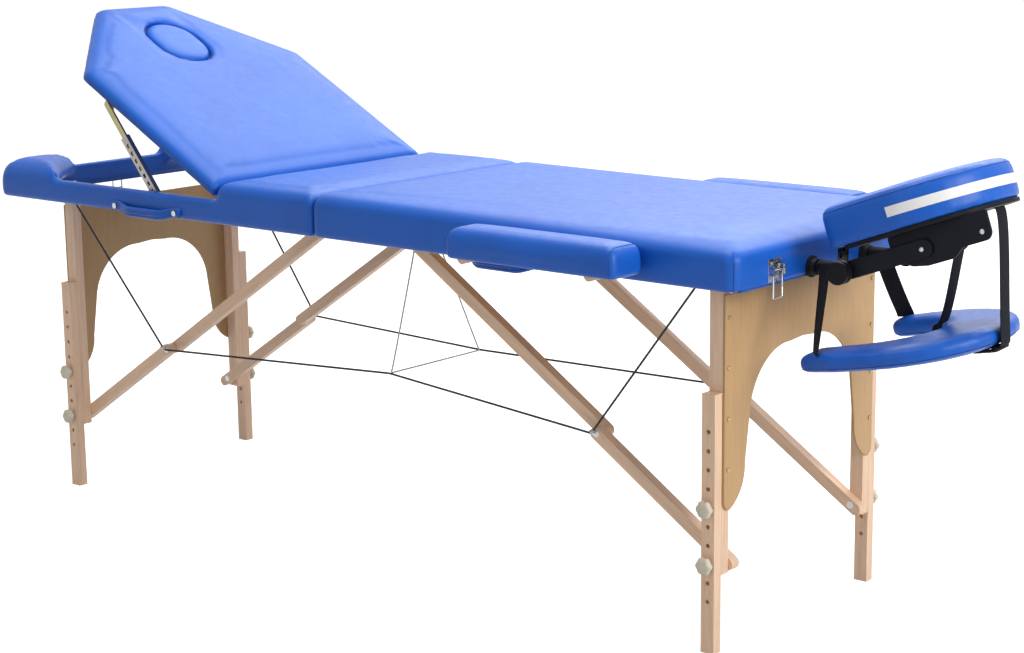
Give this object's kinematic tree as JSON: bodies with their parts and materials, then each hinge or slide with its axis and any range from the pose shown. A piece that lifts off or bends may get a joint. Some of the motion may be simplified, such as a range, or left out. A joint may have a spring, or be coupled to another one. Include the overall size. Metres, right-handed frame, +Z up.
{
  "type": "folding massage table",
  "caption": "Folding massage table with padded top, tilting backrest, wooden folding legs and struts, side armrests, tilting face cradle and hung arm shelf.",
  "frame": {"origin": "centre of the bounding box at floor level", "axes": "+X along the table toward the face cradle, +Y across the table, +Z up"},
  "size_m": [2.198, 0.792, 1.0014],
  "materials": {
    "blue_vinyl": "satin",
    "handle_vinyl": "satin",
    "covered_rail": "satin",
    "beech": "satin",
    "plywood": "satin",
    "steel": "satin",
    "chrome": "polished",
    "zinc_steel": "satin",
    "ivory_plastic": "satin",
    "black_metal": "satin",
    "black_plastic": "matte",
    "webbing": "matte",
    "cable_cover": "matte",
    "white_cord": "matte"
  },
  "bodies": {
    "left_half": {"left_side_rails": "covered_rail", "left_cross_rails": "covered_rail", "left_pivot_bolts": "steel", "left_handle": "handle_vinyl", "left_fittings": "chrome", "left_hinge_leaves": "steel", "seat_deck": "plywood", "seat_cushion": "blue_vinyl", "corner_pads": "blue_vinyl", "cables": "cable_cover", "centre_cord": "white_cord"},
    "right_half": {"right_side_rails": "covered_rail", "right_cross_rails": "covered_rail", "right_pivot_bolts": "steel", "right_handle": "handle_vinyl", "right_fittings": "chrome", "right_hinge_leaves": "steel", "right_deck": "plywood", "right_cushion": "blue_vinyl", "cradle_sockets": "black_plastic"},
    "fold_pins": {"fold_pins": "steel"},
    "backrest": {"backrest_board": "plywood", "backrest_pad": "blue_vinyl", "backrest_brackets": "steel"},
    "face_hole_plug": {"face_hole_plug": "blue_vinyl"},
    "support_channels": {"support_channels": "chrome"},
    "support_bars": {"support_bars": "zinc_steel"},
    "armrest_near": {"armrest_near_pad": "blue_vinyl", "armrest_near_frame": "beech"},
    "armrest_far": {"armrest_far_pad": "blue_vinyl", "armrest_far_frame": "beech"},
    "cradle_base": {"cradle_base": "black_metal", "arm_shelf": "blue_vinyl", "shelf_straps": "webbing"},
    "cradle_head": {"cradle_arms": "black_plastic", "cradle_platform": "black_plastic", "face_pad": "blue_vinyl"},
    "cradle_knobs": {"cradle_knobs": "black_plastic"},
    "left_legs": {"left_legs": "beech", "left_end_panel": "plywood", "left_panel_screws": "steel"},
    "left_lower_struts": {"left_lower_struts": "beech", "left_strut_bolts": "steel"},
    "left_upper_struts": {"left_upper_struts": "beech"},
    "left_latch": {"left_latch_loop": "chrome"},
    "left_extension_near": {"left_extension_near": "beech"},
    "left_extension_far": {"left_extension_far": "beech"},
    "left_upper_knobs": {"left_upper_knobs": "ivory_plastic"},
    "left_lower_knobs": {"left_lower_knobs": "ivory_plastic"},
    "right_legs": {"right_legs": "beech", "right_end_panel": "plywood", "right_panel_screws": "steel"},
    "right_lower_struts": {"right_lower_struts": "beech", "right_strut_bolts": "steel"},
    "right_upper_struts": {"right_upper_struts": "beech"},
    "right_latch": {"right_latch_loop": "chrome"},
    "right_extension_near": {"right_extension_near": "beech"},
    "right_extension_far": {"right_extension_far": "beech"},
    "right_upper_knobs": {"right_upper_knobs": "ivory_plastic"},
    "right_lower_knobs": {"right_lower_knobs": "ivory_plastic"}
  },
  "joints": [
    {"name": "table_fold", "type": "hinge", "parent": "left_half", "child": "fold_pins", "pos_m": [-0.15697, 0, 0.6168], "axis": [0, 1, 0], "range_deg": [0, 100], "deforming": ["cables", "centre_cord"]},
    {"name": "table_close", "type": "hinge", "parent": "fold_pins", "child": "right_half", "pos_m": [-0.15697, 0, 0.6168], "axis": [0, 1, 0], "range_deg": [0, 80]},
    {"name": "left_leg_fold", "type": "hinge", "parent": "left_half", "child": "left_legs", "pos_m": [-0.95497, 0, 0.638], "axis": [0, -1, 0], "range_deg": [0, 90]},
    {"name": "left_lower_strut_fold", "type": "hinge", "parent": "left_legs", "child": "left_lower_struts", "pos_m": [-0.95497, 0, 0.152], "axis": [0, -1, 0], "range_deg": [0, 54.75]},
    {"name": "left_upper_strut_fold", "type": "hinge", "parent": "left_half", "child": "left_upper_struts", "pos_m": [-0.19897, 0, 0.643], "axis": [0, 1, 0], "range_deg": [0, 33.72]},
    {"name": "left_near_leg_height", "type": "slide", "parent": "left_legs", "child": "left_extension_near", "axis": [0, 0, -1], "range_m": [-0.064, 0.128]},
    {"name": "left_far_leg_height", "type": "slide", "parent": "left_legs", "child": "left_extension_far", "axis": [0, 0, -1], "range_m": [-0.064, 0.128]},
    {"name": "left_upper_knob_turn", "type": "hinge", "parent": "left_legs", "child": "left_upper_knobs", "pos_m": [-0.95497, 0, 0.249], "axis": [0, 1, 0], "continuous": true},
    {"name": "left_lower_knob_turn", "type": "hinge", "parent": "left_legs", "child": "left_lower_knobs", "pos_m": [-0.95497, 0, 0.153], "axis": [0, 1, 0], "continuous": true},
    {"name": "left_latch_swing", "type": "hinge", "parent": "left_half", "child": "left_latch", "pos_m": [-1.09497, 0, 0.644], "axis": [0, 1, 0], "range_deg": [0, 95]},
    {"name": "right_leg_fold", "type": "hinge", "parent": "right_half", "child": "right_legs", "pos_m": [0.69103, 0, 0.638], "axis": [0, 1, 0], "range_deg": [0, 90]},
    {"name": "right_lower_strut_fold", "type": "hinge", "parent": "right_legs", "child": "right_lower_struts", "pos_m": [0.69103, 0, 0.152], "axis": [0, 1, 0], "range_deg": [0, 54.75]},
    {"name": "right_upper_strut_fold", "type": "hinge", "parent": "right_half", "child": "right_upper_struts", "pos_m": [-0.06497, 0, 0.643], "axis": [0, -1, 0], "range_deg": [0, 33.72]},
    {"name": "right_near_leg_height", "type": "slide", "parent": "right_legs", "child": "right_extension_near", "axis": [0, 0, -1], "range_m": [-0.064, 0.128]},
    {"name": "right_far_leg_height", "type": "slide", "parent": "right_legs", "child": "right_extension_far", "axis": [0, 0, -1], "range_m": [-0.064, 0.128]},
    {"name": "right_upper_knob_turn", "type": "hinge", "parent": "right_legs", "child": "right_upper_knobs", "pos_m": [0.69103, 0, 0.249], "axis": [0, 1, 0], "continuous": true},
    {"name": "right_lower_knob_turn", "type": "hinge", "parent": "right_legs", "child": "right_lower_knobs", "pos_m": [0.69103, 0, 0.153], "axis": [0, 1, 0], "continuous": true},
    {"name": "right_latch_swing", "type": "hinge", "parent": "right_half", "child": "right_latch", "pos_m": [0.78103, 0, 0.644], "axis": [0, -1, 0], "range_deg": [0, 95]},
    {"name": "back_tilt", "type": "hinge", "parent": "left_half", "child": "backrest", "pos_m": [-0.42997, 0, 0.661], "axis": [0, -1, 0], "range_deg": [0, 28.5]},
    {"name": "support_swing", "type": "hinge", "parent": "left_half", "child": "support_channels", "pos_m": [-0.60397, 0, 0.642], "axis": [0, -1, 0], "range_deg": [0, 47.73]},
    {"name": "support_slide", "type": "slide", "parent": "support_channels", "child": "support_bars", "axis": [-0.6332, 0, 0.774], "range_m": [-0.0477, 0]},
    {"name": "plug_lift", "type": "slide", "parent": "backrest", "child": "face_hole_plug", "axis": [0.4772, 0, 0.8788], "range_m": [0, 0.09]},
    {"name": "armrest_near_pull", "type": "slide", "parent": "right_half", "child": "armrest_near", "axis": [0, -1, 0], "range_m": [0, 0.06]},
    {"name": "armrest_far_pull", "type": "slide", "parent": "right_half", "child": "armrest_far", "axis": [0, 1, 0], "range_m": [0, 0.06]},
    {"name": "cradle_pull", "type": "slide", "parent": "right_half", "child": "cradle_base", "axis": [1, 0, 0], "range_m": [0, 0.06]},
    {"name": "cradle_tilt", "type": "hinge", "parent": "cradle_base", "child": "cradle_head", "pos_m": [0.84303, 0, 0.634], "axis": [0, -1, 0], "range_deg": [-20, 20], "deforming": ["shelf_straps"]},
    {"name": "cradle_knob_turn", "type": "hinge", "parent": "cradle_base", "child": "cradle_knobs", "pos_m": [0.84303, 0, 0.634], "axis": [0, 1, 0], "continuous": true}
  ],
  "couplings": [
    {"joint": "left_leg_fold", "follows": "table_fold", "ratio": 0.9},
    {"joint": "left_lower_strut_fold", "follows": "table_fold", "ratio": 0.54755},
    {"joint": "left_upper_strut_fold", "follows": "table_fold", "ratio": 0.33722},
    {"joint": "right_leg_fold", "follows": "table_fold", "ratio": 0.9},
    {"joint": "right_lower_strut_fold", "follows": "table_fold", "ratio": 0.54755},
    {"joint": "right_upper_strut_fold", "follows": "table_fold", "ratio": 0.33722},
    {"joint": "support_swing", "follows": "back_tilt", "ratio": 1.6748},
    {"joint": "support_slide", "follows": "back_tilt", "m_per_rad": -0.095899}
  ]
}
